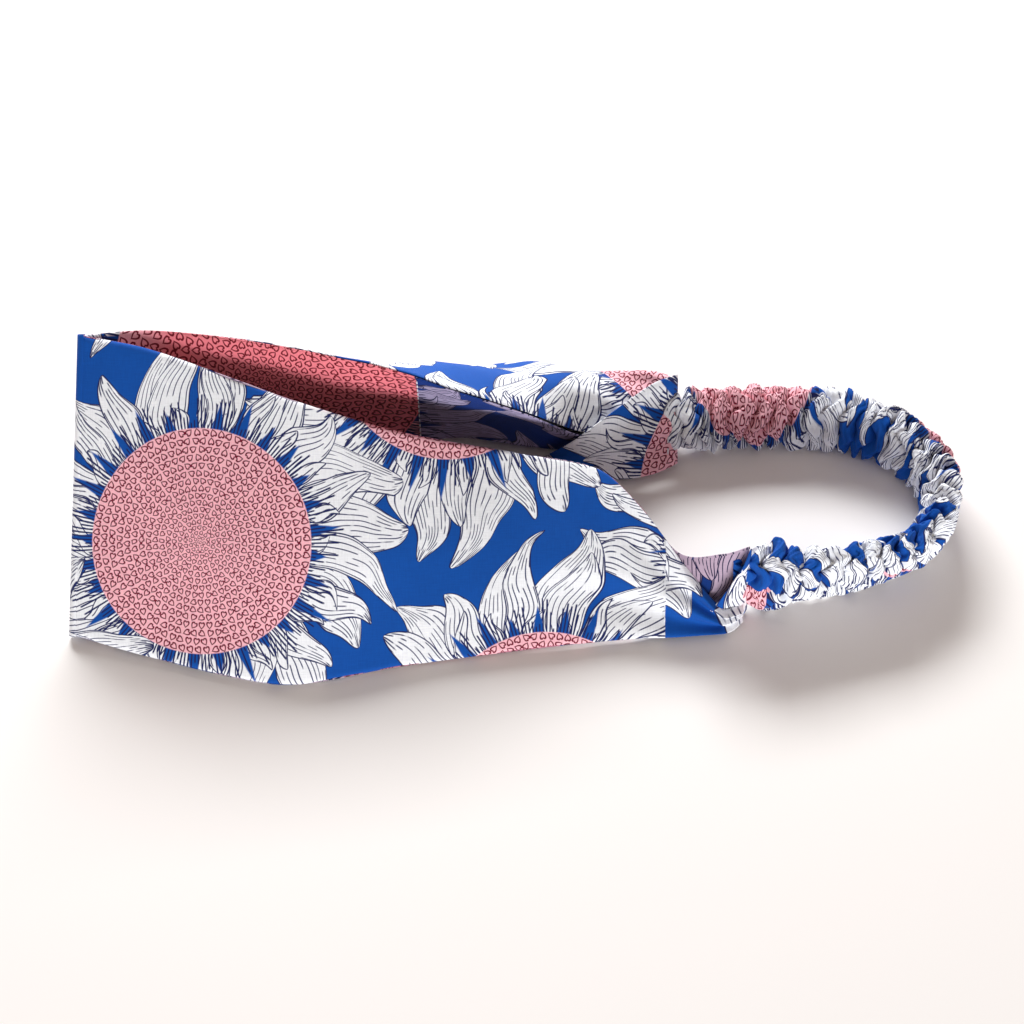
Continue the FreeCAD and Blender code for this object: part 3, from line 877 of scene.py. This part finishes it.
def stitch_row(name, table, x, offset, count, margin=0.06):
    """A row of machine stitches across a layer: short rounded threads that dip into the cloth."""
    mesh, bm = bpy.data.meshes.new(name), bmesh.new()
    points = cross_line(table, x)
    for k in range(count):
        share = margin + (1 - 2 * margin) * k / (count - 1)
        along = (across(points, share + 0.01) - across(points, share - 0.01)).normalized()
        turn = Vector((0, 0, 1)).rotation_difference(along).to_matrix().to_4x4()
        place = Matrix.Translation(to_row(strap_point(table, x, share, offset))) @ turn
        place = place @ Matrix.Diagonal((THREAD_RADIUS * MM, THREAD_RADIUS * MM, look().stitch / 2, 1))
        bmesh.ops.create_icosphere(bm, subdivisions=2, radius=1, matrix=place)
    for face in bm.faces:
        face.smooth = True
    bm.to_mesh(mesh)
    bm.free()
    piece = bpy.data.objects.new(name, mesh)
    bpy.context.scene.collection.objects.link(piece)
    return piece


def build_stitches():
    """The visible rows of stitching at the two joints and the two piecing seams."""
    thread = plain("white thread", look().thread, 0.6, 900.0)
    for node, body, table, x, offset, count in STITCH_ROWS:
        piece = stitch_row(node.replace("stitches", "thread"), table, x, offset, count)
        piece.data.materials.append(thread)
        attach(piece, body)
        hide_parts(node)


def aim(thing, target):
    """Turns a light or the camera towards a point."""
    thing.rotation_euler = (target - thing.location).to_track_quat("-Z", "Y").to_euler()


def build_stage(settings):
    """The pale floor, the soft studio light and the camera."""
    mesh, bm = bpy.data.meshes.new("floor"), bmesh.new()
    bmesh.ops.create_grid(bm, x_segments=1, y_segments=1, size=4)
    bm.to_mesh(mesh)
    bm.free()
    floor = bpy.data.objects.new("floor", mesh)
    floor.data.materials.append(plain("white table", settings.table, 0.7))
    bpy.context.scene.collection.objects.link(floor)
    target = to_row(Vector(LIT_POINT))
    lamps = [("window", *WINDOW, settings.window), ("fill", *FILL, settings.fill)]
    for name, place, size, power in lamps:
        light = bpy.data.lights.new(name, "AREA")
        light.shape, light.energy, light.color = "RECTANGLE", power, DAYLIGHT
        light.size, light.size_y = size
        lamp = bpy.data.objects.new(name, light)
        lamp.location, lamp.visible_camera = place, False
        bpy.context.scene.collection.objects.link(lamp)
        aim(lamp, target)
    world = bpy.data.worlds.new("studio")
    world.use_nodes = True
    world.node_tree.nodes["Background"].inputs["Color"].default_value = AMBIENT
    world.node_tree.nodes["Background"].inputs["Strength"].default_value = settings.ambient
    scene = bpy.context.scene
    scene.world = world
    scene.view_settings.view_transform = "Standard"
    camera = bpy.data.objects.new("camera", bpy.data.cameras.new("camera"))
    camera.data.lens, camera.data.sensor_width, camera.data.clip_start = settings.lens, 36, 0.01
    target = to_row(Vector(SEEN_POINT))
    rise = settings.elevation
    camera.location = target + settings.distance * Vector((0, -math.cos(rise), math.sin(rise)))
    scene.collection.objects.link(camera)
    aim(camera, target)
    scene.camera = camera


def setting(name, description, default, **limits):
    """A number on the panel."""
    return bpy.props.FloatProperty(name=name, description=description, default=default, **limits)


def length_setting(name, description, default):
    """A length on the panel, in metres."""
    return setting(name, description, default, min=0, unit="LENGTH")


def color_setting(name, description, default):
    """A colour on the panel."""
    return bpy.props.FloatVectorProperty(
        name=name, description=description, default=default, min=0, max=1, subtype="COLOR"
    )


class HEADBAND_PG_cloth(bpy.types.PropertyGroup):
    """The cotton, its print, its gathers and the sewing."""

    fabric: length_setting("Cotton", "Thickness of one layer of the cotton", 0.00035)
    disc: length_setting("Flower middle", "Radius of a flower's pink middle", 0.0315)
    casing_width: length_setting("Casing width", "Width of the gathered casing between its puffs", 0.0142)
    casing_depth: length_setting("Casing depth", "Depth of the gathered casing between its puffs", 0.008)
    gather_depth: length_setting("Gather depth", "How far the gathers stand out", 0.0044)
    gathers: bpy.props.IntProperty(name="Gathers", description="Puffs along the casing", default=30, min=1)
    elastic_width: length_setting("Elastic width", "Width of the elastic inside the casing", 0.0114)
    stitch: length_setting("Stitch length", "Length of one machine stitch", 0.0021)
    ground: color_setting("Ground", "Royal blue between the flowers", (0.0015, 0.075, 0.38))
    petal: color_setting("Petals", "White of the petals", (0.93, 0.94, 0.98))
    line: color_setting("Lines", "Navy of the petals' outlines and veins", (0.01, 0.016, 0.1))
    disc_color: color_setting("Flower middle", "Pink of a flower's middle", (0.98, 0.52, 0.59))
    heart: color_setting("Hearts", "Crimson of the small hearts", (0.17, 0.004, 0.023))
    thread: color_setting("Thread", "White of the sewing thread", (0.8, 0.81, 0.86))
    elastic: color_setting("Elastic", "White of the woven elastic", (0.83, 0.83, 0.8))


class HEADBAND_PG_stage(bpy.types.PropertyGroup):
    """Light, table and camera."""

    window: setting("Window light", "Power of the light behind the band", 27.0, min=0, unit="POWER")
    fill: setting("Fill light", "Power of the light in front", 15.5, min=0, unit="POWER")
    ambient: setting("Ambient", "Strength of the light from all round", 0.3, min=0)
    lens: setting("Lens", "Focal length", 100.0, min=10, unit="CAMERA")
    distance: setting("Distance", "Camera to the band", 0.796, min=0.1, unit="LENGTH")
    elevation: setting("Elevation", "Camera's angle above the table", math.radians(58), subtype="ANGLE")
    table: color_setting("Table", "Colour of the pale table", (0.96, 0.915, 0.89))


class HEADBAND_OT_near_strap(bpy.types.Operator):
    """Builds the cloth of the strap nearest the viewer."""

    bl_idname = "headband.near_strap"
    bl_label = "Near strap"

    def execute(self, context):
        build_near_strap()
        return {"FINISHED"}


class HEADBAND_OT_far_strap(bpy.types.Operator):
    """Builds the cloth of the strap behind."""

    bl_idname = "headband.far_strap"
    bl_label = "Far strap"

    def execute(self, context):
        build_far_strap()
        return {"FINISHED"}


class HEADBAND_OT_end_tucks(bpy.types.Operator):
    """Builds the folds over the two ends of the straps."""

    bl_idname = "headband.end_tucks"
    bl_label = "End tucks"

    def execute(self, context):
        build_end_tucks()
        return {"FINISHED"}


class HEADBAND_OT_front_fold(bpy.types.Operator):
    """Builds the cloth round the front crease."""

    bl_idname = "headband.front_fold"
    bl_label = "Front fold"

    def execute(self, context):
        build_front_fold()
        return {"FINISHED"}


class HEADBAND_OT_elastic(bpy.types.Operator):
    """Builds the gathered casing and the elastic inside it."""

    bl_idname = "headband.elastic"
    bl_label = "Elastic and casing"

    def execute(self, context):
        build_elastic()
        return {"FINISHED"}


class HEADBAND_OT_stitches(bpy.types.Operator):
    """Builds the rows of stitching."""

    bl_idname = "headband.stitches"
    bl_label = "Stitches"

    def execute(self, context):
        build_stitches()
        return {"FINISHED"}


class HEADBAND_OT_stage(bpy.types.Operator):
    """Builds the floor, the lights and the camera."""

    bl_idname = "headband.stage"
    bl_label = "Stage"

    def execute(self, context):
        build_stage(context.scene.headband_stage)
        return {"FINISHED"}


OPERATORS = (
    HEADBAND_OT_near_strap,
    HEADBAND_OT_far_strap,
    HEADBAND_OT_end_tucks,
    HEADBAND_OT_front_fold,
    HEADBAND_OT_elastic,
    HEADBAND_OT_stitches,
    HEADBAND_OT_stage,
)


class HEADBAND_PT_panel(bpy.types.Panel):
    """The sidebar page with the sizes and the building steps."""

    bl_idname = "HEADBAND_PT_panel"
    bl_label = "Headband"
    bl_space_type = "VIEW_3D"
    bl_region_type = "UI"
    bl_category = "Headband"

    def draw(self, context):
        """Lists the settings and the steps."""
        for settings in (look(), context.scene.headband_stage):
            for name in settings.__annotations__:
                self.layout.prop(settings, name)
        for step in OPERATORS:
            self.layout.operator(step.bl_idname)


CLASSES = (HEADBAND_PG_cloth, HEADBAND_PG_stage, *OPERATORS, HEADBAND_PT_panel)


def register():
    """Gives Blender the panel, its settings and the building steps."""
    for made in CLASSES:
        bpy.utils.register_class(made)
    bpy.types.Scene.headband_cloth = bpy.props.PointerProperty(type=HEADBAND_PG_cloth)
    bpy.types.Scene.headband_stage = bpy.props.PointerProperty(type=HEADBAND_PG_stage)


def unregister():
    """Takes them away again."""
    del bpy.types.Scene.headband_stage, bpy.types.Scene.headband_cloth
    for made in reversed(CLASSES):
        bpy.utils.unregister_class(made)


def main():
    """Builds everything in order."""
    register()
    bpy.ops.headband.near_strap()
    bpy.ops.headband.far_strap()
    bpy.ops.headband.end_tucks()
    bpy.ops.headband.front_fold()
    bpy.ops.headband.elastic()
    bpy.ops.headband.stitches()
    bpy.ops.headband.stage()


if __name__ == "__main__":
    main()
